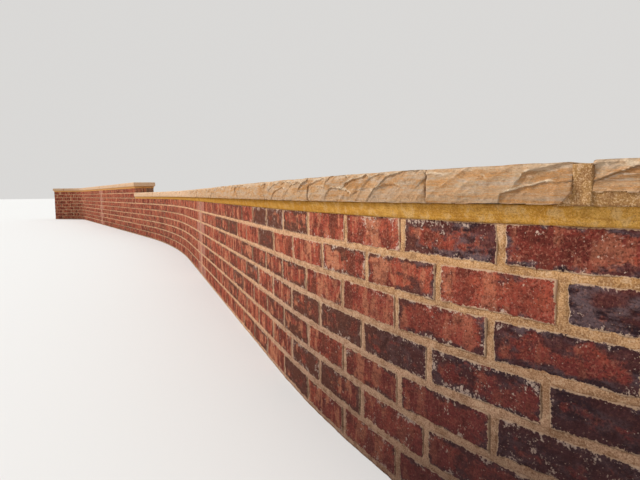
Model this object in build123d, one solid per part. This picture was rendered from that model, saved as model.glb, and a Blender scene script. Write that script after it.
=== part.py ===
from build123d import *
import math
import os
import random

# A long, low garden wall of modular brick, winding in plan, with a rock-faced stone coping.
# Sizes are in millimetres and angles in degrees.
# The wall is walked from its near end to its far end, along the lawn face of the brickwork.

# Courses: a stretcher is 57 mm high, and three courses measure 203.2 mm
BRICK_HEIGHT = 57.0
BED_JOINT = 10.73
LOW_COURSES = 7
STEP_COURSES = 2
WALL_THICKNESS = 244.0

# Coping
COPING_BED = 25.0
BED_FLARE = 7.0
STONE_HEIGHT = 51.0
STONE_OVERHANG = 22.0
STONE_JOINT = 4.0
WIDE_JOINT = 21.0
WIDE_JOINT_AFTER = 7
PERPEND_SETBACK = 14.0
WIDE_JOINT_SETBACK = 5.0
PERPEND_DROP = 6.0
TOP_VARIATION = 2.0
FACE_VARIATION = 2.5
STONE_SEED = 7

# The rock face: how far each arris lies back from the belly, and how high the belly starts and ends
FOOT_ARRIS_SETBACK = 6.0
TOP_ARRIS_SETBACK = 9.0
BELLY_FOOT = 14.0
BELLY_HEAD = 34.0

# Lengths of the stones themselves, in the order in which they are laid
STONE_LENGTHS = (497, 395, 447, 525, 371, 434, 445, 229, 434, 390, 448, 561, 433, 433)

# Plan, stretch by stretch from the near end
RETURN_LENGTH = 2500.0
TIGHT_RADIUS = 1500.0
TIGHT_TURN = 38.24
EASY_RADIUS = 4900.0
EASY_TURN = 7.0
NEAR_STRAIGHT_LENGTH = 1989.0
CONTROL_JOINT_WIDTH = 12.0
MIDDLE_STRAIGHT_LENGTH = 843.0
WIDE_RADIUS = 12370.0
WIDE_TURN = 11.75
STEP_FOOT_LENGTH = 670.0
MIDDLE_RAISED_LENGTH = 2850.0
FAR_RAISED_LENGTH = 2450.0
FAR_RADIUS = 800.0
FAR_TURN = 59.0
FAR_END_LENGTH = 140.0

# The soft filler of a control joint lies back from the faces that it separates
FILLER_SETBACK = 2.0
FILLER_DROP = 8.0

# A piece that reaches less than this into the next leg of the plan ends where that leg begins
SHORTEST_REACH = 0.01

COURSE = BRICK_HEIGHT + BED_JOINT
LOW_BRICK_TOP = LOW_COURSES * COURSE
HIGH_BRICK_TOP = (LOW_COURSES + STEP_COURSES) * COURSE


def straight(name, length):
    """A straight leg of the plan."""
    return {"name": name, "length": length, "radius": None, "turn": 0.0}


def curve(name, radius, turn):
    """A curved leg. A positive turn bends towards the lawn, which lies on the left."""
    length = radius * math.radians(abs(turn))
    return {"name": name, "length": length, "radius": radius, "turn": turn}


LEGS = [
    straight("return", RETURN_LENGTH),
    curve("tight_curve", TIGHT_RADIUS, -TIGHT_TURN),
    curve("easy_curve", EASY_RADIUS, -EASY_TURN),
    straight("near_straight", NEAR_STRAIGHT_LENGTH),
    straight("near_control_joint", CONTROL_JOINT_WIDTH),
    straight("middle_straight", MIDDLE_STRAIGHT_LENGTH),
    curve("wide_curve", WIDE_RADIUS, WIDE_TURN),
    straight("step_foot", STEP_FOOT_LENGTH),
    straight("middle_raised", MIDDLE_RAISED_LENGTH),
    straight("far_control_joint", CONTROL_JOINT_WIDTH),
    straight("far_raised", FAR_RAISED_LENGTH),
    curve("far_curve", FAR_RADIUS, FAR_TURN),
    straight("far_end", FAR_END_LENGTH),
]


def walk(x, y, heading, leg, distance):
    """The point and heading after a distance along one leg."""
    if leg["radius"] is None:
        return x + distance * math.cos(heading), y + distance * math.sin(heading), heading
    signed_radius = math.copysign(leg["radius"], leg["turn"])
    centre_x = x - signed_radius * math.sin(heading)
    centre_y = y + signed_radius * math.cos(heading)
    heading += distance / signed_radius
    return centre_x + signed_radius * math.sin(heading), centre_y - signed_radius * math.cos(heading), heading


def lay_out(x, y, heading):
    """Start, end, point and heading of every leg, from the given near end."""
    place = 0.0
    for leg in LEGS:
        leg["start"] = place
        leg["end"] = place + leg["length"]
        leg["at"] = (x, y, heading)
        x, y, heading = walk(x, y, heading, leg, leg["length"])
        place = leg["end"]


def leg_named(name):
    """The leg of that name."""
    return next(leg for leg in LEGS if leg["name"] == name)


# The near straight runs along -X, and the part's origin is under its middle, in the wall's centre
near_heading = math.radians(180.0 + TIGHT_TURN + EASY_TURN)
lay_out(0.0, 0.0, near_heading)
near_straight = leg_named("near_straight")
foot_x, foot_y, foot_heading = walk(*near_straight["at"], near_straight, NEAR_STRAIGHT_LENGTH / 2)
lay_out(-foot_x, -foot_y - WALL_THICKNESS / 2, near_heading)

WALL_LENGTH = LEGS[-1]["end"]
STEP_PLACE = leg_named("middle_raised")["start"]


def plane_at(leg, place):
    """The upright plane across the wall: its x points to the lawn, its y up and its normal along the wall."""
    x, y, heading = walk(*leg["at"], leg, place - leg["start"])
    return Plane(
        origin=(x, y, 0),
        x_dir=(-math.sin(heading), math.cos(heading), 0),
        z_dir=(math.cos(heading), math.sin(heading), 0),
    )


def along_leg(profile, leg, start, end):
    """The closed profile carried along one leg, between two places measured from the near end."""
    plane = plane_at(leg, start)
    face = plane * make_face(Polyline(*profile, close=True))
    if leg["radius"] is None:
        return extrude(face, amount=end - start)
    side = math.copysign(1.0, leg["turn"])
    centre = plane.origin + plane.x_dir * (side * leg["radius"])
    turned = math.degrees((end - start) / leg["radius"])
    return revolve(face, axis=Axis(centre, (0, 0, side)), revolution_arc=turned)


def along_wall(profile, start, end):
    """The closed profile carried along the wall, over as many legs as it crosses."""
    pieces = []
    for leg in LEGS:
        first = start if leg is LEGS[0] else max(start, leg["start"])
        last = end if leg is LEGS[-1] else min(end, leg["end"])
        if last - first > SHORTEST_REACH:
            pieces.append(along_leg(profile, leg, first, last))
    solid = pieces[0]
    for piece in pieces[1:]:
        solid += piece
    return solid


def block(front, back, low, high):
    """A rectangular profile. Front and back are measured outwards from the two brick faces."""
    near, far = front, -WALL_THICKNESS - back
    return [(near, low), (near, high), (far, high), (far, low)]


def rock_profile(low, high, belly):
    """The profile of a coping stone, with a rock face on both sides that bellies out between its arrises."""
    face = [
        (belly - FOOT_ARRIS_SETBACK, low),
        (belly, low + BELLY_FOOT),
        (belly, low + BELLY_HEAD),
        (belly - TOP_ARRIS_SETBACK, high),
    ]
    other_face = [(-WALL_THICKNESS - outwards, height) for outwards, height in reversed(face)]
    return face + other_face


def stone_spans(start, end):
    """Start and end of each stone of a run, joint widths taken off, fitted to fill the run."""
    room = end - start
    lengths = []
    joints = []
    while sum(lengths) + sum(joints) < room:
        lengths.append(STONE_LENGTHS[len(lengths) % len(STONE_LENGTHS)])
        joints.append(WIDE_JOINT if len(lengths) == WIDE_JOINT_AFTER else STONE_JOINT)
    overshoot = sum(lengths) + sum(joints) - room
    if overshoot > lengths[-1] / 2 and len(lengths) > 1:
        lengths.pop()
        joints.pop()
    fit = (room - sum(joints[:-1])) / sum(lengths)
    spans = []
    place = start
    for length, joint in zip(lengths, joints):
        spans.append((place, place + length * fit))
        place += length * fit + joint
    return spans


def section(*names):
    """The stretch of wall from the first named leg to the last."""
    return leg_named(names[0])["start"], leg_named(names[-1])["end"]


# Every stretch is a separate piece of brickwork, bed and coping, with the height of its brickwork
SECTIONS = {
    "near_return": (section("return"), LOW_BRICK_TOP),
    "near_bend": (section("tight_curve", "easy_curve"), LOW_BRICK_TOP),
    "near_straight": (section("near_straight"), LOW_BRICK_TOP),
    "middle_straight": (section("middle_straight"), LOW_BRICK_TOP),
    "middle_curve": (section("wide_curve", "step_foot"), LOW_BRICK_TOP),
    "middle_raised": (section("middle_raised"), HIGH_BRICK_TOP),
    "far_raised": (section("far_raised"), HIGH_BRICK_TOP),
    "far_bend": (section("far_curve", "far_end"), HIGH_BRICK_TOP),
}

# A run of coping goes from one control joint, step or end to the next
RUNS = [
    (-STONE_OVERHANG, leg_named("near_straight")["end"], LOW_BRICK_TOP),
    (leg_named("middle_straight")["start"], STEP_PLACE - STONE_JOINT, LOW_BRICK_TOP),
    (STEP_PLACE - STONE_OVERHANG, leg_named("middle_raised")["end"], HIGH_BRICK_TOP),
    (leg_named("far_raised")["start"], WALL_LENGTH + STONE_OVERHANG, HIGH_BRICK_TOP),
]


def in_section(place, span):
    """Whether a place belongs to a stretch. The overhangs past the wall's ends count too."""
    start, end = span
    if start == 0.0:
        start = -STONE_OVERHANG
    if end == WALL_LENGTH:
        end = WALL_LENGTH + STONE_OVERHANG
    return start <= place < end


def make_brickwork(name):
    """The seven courses that run at one level from end to end."""
    (start, end), top = SECTIONS[name]
    return along_wall(block(0, 0, 0, LOW_BRICK_TOP), start, end)


def make_raised_courses(name):
    """The courses above the step."""
    (start, end), top = SECTIONS[name]
    return along_wall(block(0, 0, LOW_BRICK_TOP, HIGH_BRICK_TOP), start, end)


def make_stones():
    """Every coping stone as (middle, height of its brickwork, solid), in walking order."""
    uneven = random.Random(STONE_SEED)
    stones = []
    for start, end, brick_top in RUNS:
        low = brick_top + COPING_BED
        for first, last in stone_spans(start, end):
            high = low + STONE_HEIGHT + TOP_VARIATION * uneven.random()
            belly = STONE_OVERHANG - FACE_VARIATION * uneven.random()
            stone = along_wall(rock_profile(low, high, belly), first, last)
            stones.append(((first + last) / 2, brick_top, stone))
    return stones


def make_coping(name, stones):
    """The stones whose middles lie over this stretch, each a solid of its own."""
    span, top = SECTIONS[name]
    own = [stone for middle, brick_top, stone in stones if brick_top == top and in_section(middle, span)]
    return Compound(children=own)


def perpend_places():
    """Start, end and brickwork height of each mortar joint between stones, and of the one at the step."""
    joints = []
    for start, end, brick_top in RUNS:
        spans = stone_spans(start, end)
        for span, next_span in zip(spans, spans[1:]):
            joints.append((span[1], next_span[0], brick_top))
    joints.append((STEP_PLACE - STONE_JOINT, STEP_PLACE, LOW_BRICK_TOP))
    return joints


def make_bed(name):
    """The tooled mortar bed under the coping, with the mortar between the stones standing on it."""
    span, top = SECTIONS[name]
    head = top + COPING_BED
    other_head = -WALL_THICKNESS - BED_FLARE
    profile = [(0, top), (BED_FLARE, head), (other_head, head), (-WALL_THICKNESS, top)]
    bed = along_wall(profile, *span)
    low = top + COPING_BED
    for first, last, brick_top in perpend_places():
        if brick_top == top and in_section((first + last) / 2, span):
            wide = last - first > (STONE_JOINT + WIDE_JOINT) / 2
            outwards = STONE_OVERHANG - (WIDE_JOINT_SETBACK if wide else PERPEND_SETBACK)
            bed += along_wall(block(outwards, outwards, low, low + STONE_HEIGHT - PERPEND_DROP), first, last)
    return bed


def make_control_joint(name, brick_top):
    """The filler between two bays, through the brickwork, the bed and the coping."""
    leg = leg_named(name)
    bed_top = brick_top + COPING_BED
    filler_top = bed_top + STONE_HEIGHT - FILLER_DROP
    outwards = STONE_OVERHANG - PERPEND_SETBACK
    filler = along_wall(block(-FILLER_SETBACK, -FILLER_SETBACK, 0, bed_top), leg["start"], leg["end"])
    filler += along_wall(block(outwards, outwards, bed_top, filler_top), leg["start"], leg["end"])
    return filler


def main():
    """Write every piece of the wall to its own file."""
    os.makedirs("parts", exist_ok=True)
    nodes = {}
    stones = make_stones()
    for name, (span, top) in SECTIONS.items():
        nodes[name + "_brickwork"] = make_brickwork(name)
        if top > LOW_BRICK_TOP:
            nodes[name + "_courses"] = make_raised_courses(name)
        nodes[name + "_bed"] = make_bed(name)
        nodes[name + "_coping"] = make_coping(name, stones)
    nodes["near_control_joint"] = make_control_joint("near_control_joint", LOW_BRICK_TOP)
    nodes["far_control_joint"] = make_control_joint("far_control_joint", HIGH_BRICK_TOP)
    for name, shape in nodes.items():
        export_step(shape, "parts/" + name + ".step")


main()
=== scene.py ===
import bpy
import itertools
import math
import random
import numpy as np
from mathutils import Matrix, Vector


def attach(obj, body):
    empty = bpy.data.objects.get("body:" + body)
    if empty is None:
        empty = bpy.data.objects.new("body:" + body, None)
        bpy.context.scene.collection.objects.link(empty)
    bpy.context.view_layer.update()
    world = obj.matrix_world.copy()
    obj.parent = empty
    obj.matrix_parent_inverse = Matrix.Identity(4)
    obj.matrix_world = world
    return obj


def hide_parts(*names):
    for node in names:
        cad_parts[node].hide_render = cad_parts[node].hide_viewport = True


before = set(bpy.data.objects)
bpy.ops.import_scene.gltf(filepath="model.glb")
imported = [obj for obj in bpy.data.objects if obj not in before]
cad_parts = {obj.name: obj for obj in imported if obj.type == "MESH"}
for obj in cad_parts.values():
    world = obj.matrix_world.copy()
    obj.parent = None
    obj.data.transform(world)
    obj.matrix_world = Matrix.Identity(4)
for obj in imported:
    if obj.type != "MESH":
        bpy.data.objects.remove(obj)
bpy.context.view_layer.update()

# Sizes in metres, the same as in the part's own frame: +Z up, -Y out of the lawn face.
# A place is a distance along the lawn face of the brickwork, from the near end.
# Outwards is measured from the lawn face towards the lawn, so the back face is at -THICKNESS.

BRICK_HEIGHT = 0.057
BRICK_LENGTH = 0.194
BRICK_GAUGE = 0.2032
COURSE = 0.06773
JOINT = BRICK_GAUGE - BRICK_LENGTH
BED_JOINT = COURSE - BRICK_HEIGHT
LEAF = 0.092
THICKNESS = 0.244
LOW_COURSES = 7
STEP_COURSES = 2
LOW_BRICK_TOP = LOW_COURSES * COURSE
HIGH_BRICK_TOP = (LOW_COURSES + STEP_COURSES) * COURSE
COPING_BED = 0.025
BED_FLARE = 0.007
STONE_HEIGHT = 0.051
STONE_OVERHANG = 0.022
STONE_JOINT = 0.004
WIDE_JOINT = 0.021
WIDE_JOINT_AFTER = 7
JOINT_SETBACK = 0.014
WIDE_JOINT_SETBACK = 0.005
TOP_VARIATION = 0.002
FACE_VARIATION = 0.0025
STONE_SEED = 7
STONE_LENGTHS = (497, 395, 447, 525, 371, 434, 445, 229, 434, 390, 448, 561, 433, 433)
MILLIMETRE = 0.001

# How far each course's upright joints lie from the true half-bond, top course of the low part first
BOND_SHIFTS = (-0.008, 0.006, 0.007, 0.023, -0.001, 0.029, 0.004)
BRICK_SEED = 82394708

# Brick faces lie on average this far behind the face line, and the mortar this much deeper
BRICK_SETBACK = 0.0019
JOINT_RECESS = 0.0014
END_RECESS = 0.0042


# Plan

TIGHT_TURN, EASY_TURN = 38.24, 7.0
NEAR_HEADING = math.pi + math.radians(TIGHT_TURN + EASY_TURN)


def bend(radius, degrees):
    """Length, radius and side of a curved leg. A positive turn bends towards the lawn."""
    return radius * math.radians(abs(degrees)), radius, math.copysign(1, degrees)


# Legs of the plan from the near end: name, length, radius (none if straight), side of the bend
LEGS = (
    ("near_return", 2.500, None, 0),
    ("tight_curve", *bend(1.500, -TIGHT_TURN)),
    ("easy_curve", *bend(4.900, -EASY_TURN)),
    ("near_straight", 1.989, None, 0),
    ("near_control_joint", 0.012, None, 0),
    ("middle_straight", 0.843, None, 0),
    ("wide_curve", *bend(12.370, 11.75)),
    ("step_foot", 0.670, None, 0),
    ("middle_raised", 2.850, None, 0),
    ("far_control_joint", 0.012, None, 0),
    ("far_raised", 2.450, None, 0),
    ("far_curve", *bend(0.800, 59.0)),
    ("far_end", 0.140, None, 0),
)


def step_along(x, y, heading, radius, side, distance):
    """The point and heading after a distance along a leg. Distance may be an array."""
    if radius is None:
        x, y = x + distance * np.cos(heading), y + distance * np.sin(heading)
        return x, y, heading + 0 * distance
    signed = radius * side
    centre_x = x - signed * np.sin(heading)
    centre_y = y + signed * np.cos(heading)
    turned = heading + distance / signed
    return centre_x + signed * np.sin(turned), centre_y - signed * np.cos(turned), turned


def lay_out(x, y, heading):
    """Every leg as name, start, end, x, y, heading, radius and side."""
    rows = []
    place = 0.0
    for name, length, radius, side in LEGS:
        rows.append((name, place, place + length, x, y, heading, radius, side))
        x, y, heading = (float(value) for value in step_along(x, y, heading, radius, side, length))
        place += length
    return rows


def centred_plan():
    """The plan with the frame's origin under the middle of the near straight."""
    first_try = lay_out(0.0, 0.0, NEAR_HEADING)
    start, end, x, y = next(row[1:5] for row in first_try if row[0] == "near_straight")
    foot_x, foot_y, _ = step_along(x, y, math.pi, None, 0, (end - start) / 2)
    return lay_out(-float(foot_x), -float(foot_y) - THICKNESS / 2, NEAR_HEADING)


PLAN = centred_plan()
WALL_LENGTH = PLAN[-1][2]
SPANS = {row[0]: (row[1], row[2]) for row in PLAN}

NEAR_RETURN = SPANS["near_return"]
NEAR_BEND = (SPANS["tight_curve"][0], SPANS["easy_curve"][1])
NEAR_STRAIGHT = SPANS["near_straight"]
MIDDLE_STRAIGHT = SPANS["middle_straight"]
MIDDLE_CURVE = (SPANS["wide_curve"][0], SPANS["step_foot"][1])
MIDDLE_RAISED = SPANS["middle_raised"]
FAR_RAISED = SPANS["far_raised"]
FAR_BEND = (SPANS["far_curve"][0], SPANS["far_end"][1])
STEP_PLACE = MIDDLE_RAISED[0]

# Bays between the control joints: start, end, and whether each end is free
BAYS = (
    (NEAR_RETURN[0], NEAR_STRAIGHT[1], True, False),
    (MIDDLE_STRAIGHT[0], MIDDLE_RAISED[1], False, False),
    (FAR_RAISED[0], FAR_BEND[1], False, True),
)
RAISED_BAYS = ((*MIDDLE_RAISED, True, False), (FAR_RAISED[0], FAR_BEND[1], False, True))

# Stretches, as the CAD nodes divide the wall: name, start and end, spacing of the mortar's mesh
STRETCHES = (
    ("near_return", NEAR_RETURN, 0.020),
    ("near_bend", NEAR_BEND, 0.0051),
    ("near_straight", NEAR_STRAIGHT, 0.0085),
    ("middle_straight", MIDDLE_STRAIGHT, 0.020),
    ("middle_curve", MIDDLE_CURVE, 0.030),
    ("middle_raised", MIDDLE_RAISED, 0.030),
    ("far_raised", FAR_RAISED, 0.040),
    ("far_bend", FAR_BEND, 0.030),
)
RAISED = ("middle_raised", "far_raised", "far_bend")

# Runs of coping stones: start, end, top of the brickwork
RUNS = (
    (-STONE_OVERHANG, NEAR_STRAIGHT[1], LOW_BRICK_TOP),
    (MIDDLE_STRAIGHT[0], STEP_PLACE - STONE_JOINT, LOW_BRICK_TOP),
    (STEP_PLACE - STONE_OVERHANG, MIDDLE_RAISED[1], HIGH_BRICK_TOP),
    (FAR_RAISED[0], WALL_LENGTH + STONE_OVERHANG, HIGH_BRICK_TOP),
)


def stretch_of(place):
    """The stretch in which a place lies."""
    return next((name for name, (_, end), _ in STRETCHES if place <= end), "far_bend")


def plan(place):
    """x, y and heading of the lawn face at an array of places."""
    place = np.asarray(place, float)
    x, y, heading = (np.zeros(place.shape) for _ in range(3))
    for index, (_, start, end, leg_x, leg_y, leg_heading, radius, side) in enumerate(PLAN):
        inside = (place >= start) | (index == 0)
        inside &= (place < end) | (index == len(PLAN) - 1)
        there = step_along(leg_x, leg_y, leg_heading, radius, side, place[inside] - start)
        x[inside], y[inside], heading[inside] = there
    return x, y, heading


def directions(place):
    """x, y, the direction along the wall and the direction towards the lawn at one place."""
    x, y, heading = (float(value) for value in plan(place))
    cosine, sine = math.cos(heading), math.sin(heading)
    return x, y, np.array([cosine, sine, 0.0]), np.array([-sine, cosine, 0.0])


def at(place, outwards, height):
    """Points of the frame from places, distances outwards and heights."""
    x, y, heading = plan(place)
    return np.stack(
        [x - outwards * np.sin(heading), y + outwards * np.cos(heading), height + 0 * x], axis=-1
    )


# Noise

def hashed(lattice, seed):
    """Repeatable numbers from 0 to 1 for lattice points, given as three arrays or whole numbers."""
    word = np.uint64(seed * 2654435761 % 2**32)
    for value, prime in zip(lattice, (73856093, 19349663, 83492791)):
        word = word ^ np.asarray(value).astype(np.uint64) * np.uint64(prime)
    word = word & np.uint64(0xFFFFFFFF)
    for _ in range(2):
        word = (word ^ (word >> np.uint64(16))) * np.uint64(0x45D9F3B) & np.uint64(0xFFFFFFFF)
    word ^= word >> np.uint64(16)
    return word.astype(float) / 0xFFFFFFFF


def noise(points, size, seed):
    """Smooth noise from -1 to 1, with lumps about as large as size."""
    scaled = np.asarray(points) / size + 1000.0
    cell = np.floor(scaled).astype(np.int64)
    part = scaled - cell
    part = part * part * part * (part * (part * 6 - 15) + 10)
    total = 0
    for corner in itertools.product((0, 1), repeat=3):
        value = hashed(np.moveaxis(cell + np.array(corner), -1, 0), seed)
        for axis, beyond in enumerate(corner):
            value = value * (part[..., axis] if beyond else 1 - part[..., axis])
        total = total + value
    return total * 2 - 1


def rough(points, size, seed, octaves=3):
    """Noise with finer noise on it, each octave half as large and half as strong."""
    total = 0
    for octave in range(octaves):
        total = total + noise(points, size / 2**octave, seed + 17 * octave) / 2**octave
    return total


def within(value):
    """A value or an array kept from 0 to 1."""
    return np.clip(value, 0, 1)


# Meshes

def add_to_scene(name, data):
    """An object of that name and data, linked to the scene."""
    thing = bpy.data.objects.new(name, data)
    bpy.context.scene.collection.objects.link(thing)
    return thing


def make_piece(name, points, faces, material, marks=None):
    """A mesh object from points and a list of face arrays, each with its own number of corners."""
    mesh = bpy.data.meshes.new(name)
    corners = [face for group in faces for face in group.tolist()]
    mesh.from_pydata(points.tolist(), [], corners, shade_flat=False)
    mesh.validate()
    if marks is not None:
        layer = mesh.attributes.new("marks", "FLOAT_COLOR", "POINT")
        layer.data.foreach_set("color", marks.astype(np.float32).ravel())
    piece = add_to_scene(name, mesh)
    mesh.materials.append(MATERIALS[material])
    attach(piece, "root")
    return piece


def grid_faces(rows, columns, closed_columns=False):
    """Quads of a grid whose points are numbered row by row."""
    row = np.arange(rows - 1)[:, None]
    column = np.arange(columns if closed_columns else columns - 1)[None, :]
    after = (column + 1) % columns
    this_row, next_row = row * columns, (row + 1) * columns
    quads = [this_row + column, this_row + after, next_row + after, next_row + column]
    return np.stack(quads, axis=-1).reshape(-1, 4)


# Bricks

# Lines on a brick's face from each edge inwards, and depths of the rings behind its face
EDGE_LINES = (0.0, 0.0013, 0.0032, 0.0062)
FAR_EDGE_LINES = (0.0, 0.0030, 0.0260)
DEPTHS = (0.012, LEAF)
FAR_DEPTHS = (LEAF,)
END_DEPTHS = (0.004, 0.012, 0.030, 0.055, 0.080, LEAF, 0.11)
SHORTEST_TEMPLATE = 0.15

# Cells across and up a brick's face, edge lines, depths, and whether its face is pitted
FINENESS = {
    "fine_upper": (62, 19, EDGE_LINES, DEPTHS, True),
    "fine_lower": (62, 19, EDGE_LINES, DEPTHS, True),
    "middling": (34, 10, EDGE_LINES, DEPTHS, True),
    "small": (18, 6, EDGE_LINES, DEPTHS, False),
    "far": (2, 1, FAR_EDGE_LINES, FAR_DEPTHS, False),
    "end": (8, 5, EDGE_LINES, END_DEPTHS, False),
}

# Which of a brick's random numbers say how dark it was fired, how bright its red is, and its bloom
FLASH, TONE, BLOOM = 9, 10, 11
RANDOM_NUMBERS = 12
# Added to a brick's number, so that none is negative
LEAST_NUMBER = 50
BLOOM_SHARE = 0.85
OWN_SPREAD = 40.0

# How a brick's outline wanders: axis, amount, size and seed. Only pitted bricks have the last two.
WANDER = (
    (0, 0.0010, 0.040, 21), (1, 0.0009, 0.045, 23), (0, 0.0007, 0.010, 25), (1, 0.0006, 0.009, 27)
)
ARRIS, ARRIS_WANDER = 0.0022, 0.0013
SMALLEST_ARRIS, LARGEST_ARRIS = 0.0008, 0.010
FURROW = 0.0022
PIT, CHIPPED = 0.0020, 0.0014
PROUDEST = 0.0009

SHORTEST_BRICK = 0.045
HALF_BRICK = 0.75 * BRICK_GAUGE
LENGTH_LOSS, LENGTH_VARIATION = 0.0005, 0.0045
HEIGHT_GAIN, HEIGHT_VARIATION = 0.0022, 0.0016
STAND_VARIATION = 0.0014
LIFT_VARIATION = 0.0014
TILT_VARIATION = 0.012 / 4
ROLL_VARIATION = 0.008

# From this place on fewer bricks are flashed, and before it the low courses are a deeper red
CLOSE_END = 4.4
FLASH_FADE_LENGTH = 1.6
FLASH_FADE = 0.45
DEEP_COURSES = 4.6
DEEP_FADE = 2.5
DEEP_TONE = 0.75
# Bricks this near a control joint are smeared with sealant
SMEARED_REACH = 0.13
SMEARED_FLASH, SMEARED_BLOOM = 0.4, 0.93

UP = np.array([0.0, 0.0, 1.0])


def face_lines(length, count, edge_lines):
    """Lines across a brick face as shares of its length, close together at both edges."""
    edge = [line / length for line in edge_lines]
    inner = list(np.linspace(edge[-1], 1 - edge[-1], count + 1)[1:-1])
    return np.array(edge + inner + [1 - line for line in reversed(edge)])


def brick_template(across, up, edge_lines, depth_lines, length):
    """Unit points (along, up, depth) of a brick's front, sides and back, and its faces."""
    u, v = face_lines(length, across, edge_lines), face_lines(BRICK_HEIGHT, up, edge_lines)
    columns, rows = len(u), len(v)
    front = np.stack([np.tile(u, rows), np.repeat(v, columns), np.zeros(rows * columns)], axis=1)
    index = np.arange(rows * columns).reshape(rows, columns)
    loop = np.concatenate([index[0, :-1], index[:-1, -1], index[-1, :0:-1], index[:0:-1, 0]])
    points, quads, previous = [front], [grid_faces(rows, columns)], loop
    for number, depth in enumerate(depth_lines):
        behind = front[loop].copy()
        behind[:, 2] = depth
        points.append(behind)
        ring = rows * columns + number * len(loop) + np.arange(len(loop))
        quads.append(np.stack([previous, ring, np.roll(ring, -1), np.roll(previous, -1)], axis=1))
        previous = ring
    return np.concatenate(points), np.concatenate(quads), previous[None, ::-1]


def brick_relief(sample, fine):
    """How far a brick's surface stands out: waves, furrows and, close by, pits and chips."""
    relief = 0.0008 * rough(sample, 0.030, 7, 3 if fine else 2)
    dragged = sample * np.array([1.0, 0.35, 1.0])
    furrows = within(1 - np.abs(noise(dragged, 0.034, 35)) / 0.16)
    relief -= FURROW * furrows * within(noise(sample, 0.06, 37) + 0.1)
    if fine:
        relief += 0.00055 * rough(sample, 0.0085, 9, 2)
        relief -= PIT * within(noise(sample, 0.011, 31) - 0.50) / 0.50
        relief -= CHIPPED * within(rough(sample, 0.020, 33, 3) - 0.6)
    return relief


def make_bricks(name, bricks, across, up, edge_lines, depth_lines, fine):
    """One mesh of many bricks, as brick() describes them."""
    length = max(bricks[0]["length"], SHORTEST_TEMPLATE)
    template, quads, back = brick_template(across, up, edge_lines, depth_lines, length)
    count, per_brick = len(bricks), len(template)
    column = {key: np.array([one[key] for one in bricks]) for key in bricks[0]}
    sizes = np.stack([column["length"], column["height"]], axis=1)[:, None]
    depth = column["depth"][:, None]
    local = np.repeat(template[None], count, axis=0)
    local[..., :2] = local[..., :2] * sizes - sizes / 2
    local[..., 2] = -np.minimum(local[..., 2], depth)
    sample = local + column["own"][:, None] * OWN_SPREAD

    arris = ARRIS + ARRIS_WANDER * rough(sample, 0.022, 3, 2)
    worn_corner = within(noise(sample, 0.045, 5) - 0.40) * 0.010
    arris = np.clip(arris + worn_corner, SMALLEST_ARRIS, LARGEST_ARRIS)[..., None]
    limit = sizes / 2 - arris
    inner = [np.clip(local[..., :2], -limit, limit), np.minimum(local[..., 2:], -arris)]
    inner = np.concatenate(inner, axis=-1)
    outward = local - inner
    outward /= np.maximum(np.linalg.norm(outward, axis=-1, keepdims=True), 1e-6)
    shaped = inner + outward * arris
    shaped = shaped + outward * brick_relief(sample, fine)[..., None]
    for axis, amount, size, seed in WANDER[: 4 if fine else 2]:
        shaped[..., axis] += amount * noise(sample, size, seed)
    shaped[..., 2] = np.minimum(shaped[..., 2], PROUDEST)
    points = column["middle"][:, None] + np.einsum("bpi,bij->bpj", shaped, column["axes"])

    from_sides = sizes / 2 - np.abs(local[..., :2])
    from_ends = np.minimum(-local[..., 2], depth + local[..., 2])[..., None]
    from_edges = np.sort(np.concatenate([from_sides, from_ends], axis=-1), axis=-1)[..., 1]
    marks = np.zeros((count, per_brick, 4))
    marks[..., :3] = column["marks"][:, None]
    marks[..., 3] = within(from_edges / (BRICK_HEIGHT / 2))
    shift = (np.arange(count) * per_brick)[:, None, None]
    faces = [(quads[None] + shift).reshape(-1, 4), (back[None] + shift).reshape(count, -1)]
    return make_piece(name, points.reshape(-1, 3), faces, "brick", marks)


def brick_numbers(course, number, leaf):
    """Repeatable random numbers of one brick, from where it lies in the bond."""
    counts = leaf * RANDOM_NUMBERS + np.arange(RANDOM_NUMBERS)
    draws = hashed((course, number + LEAST_NUMBER, counts), BRICK_SEED)
    draws[BLOOM] *= BLOOM_SHARE
    return draws


def brick(place, course, middle, axes, length, depth, draws):
    """One brick: where it lies, its axes (along, up, out of the face), its sizes and its marks."""
    return {
        "place": place,
        "course": course,
        "middle": middle,
        "axes": axes,
        "length": length,
        "height": BRICK_HEIGHT + HEIGHT_GAIN - HEIGHT_VARIATION * draws[3],
        "depth": depth,
        "own": draws[6:9],
        "marks": draws[9:12],
    }


def perpends(start, end, course, gauge_start=0.0):
    """Places of the upright joints of one course between two ends, the ends among them."""
    row = (LOW_COURSES - 1 - course) % 2
    shift = BOND_SHIFTS[(LOW_COURSES - 1 - course) % len(BOND_SHIFTS)]
    joints = [start]
    number = math.floor((start - gauge_start) / BRICK_GAUGE) - 1
    while True:
        place = gauge_start + (number + row / 2) * BRICK_GAUGE + shift
        number += 1
        if place < start + SHORTEST_BRICK:
            continue
        if place > end - SHORTEST_BRICK:
            break
        joints.append(place)
    return joints + [end]


def leaf_length_table(outwards):
    """Places, and the length measured along a line that far outwards."""
    places = np.linspace(0.0, WALL_LENGTH, 6000)
    steps = np.linalg.norm(np.diff(at(places, outwards, 0.0), axis=0), axis=1)
    return places, np.concatenate([[0.0], np.cumsum(steps)])


# Leaf 0 faces the lawn, leaf 1 is the back
LEAVES = ((0, "lawn"), (1, "back"))
LENGTH_TABLES = (leaf_length_table(0.0), leaf_length_table(-THICKNESS))


def bond_start(leaf, place):
    """Where a leaf's bond starts in a place's bay, so that both leaves match at its free end."""
    if leaf == 0 or place <= NEAR_STRAIGHT[1]:
        return 0.0
    matched = STEP_PLACE if place <= MIDDLE_RAISED[1] else WALL_LENGTH
    return float(np.interp(matched, *LENGTH_TABLES[1])) - matched


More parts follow.
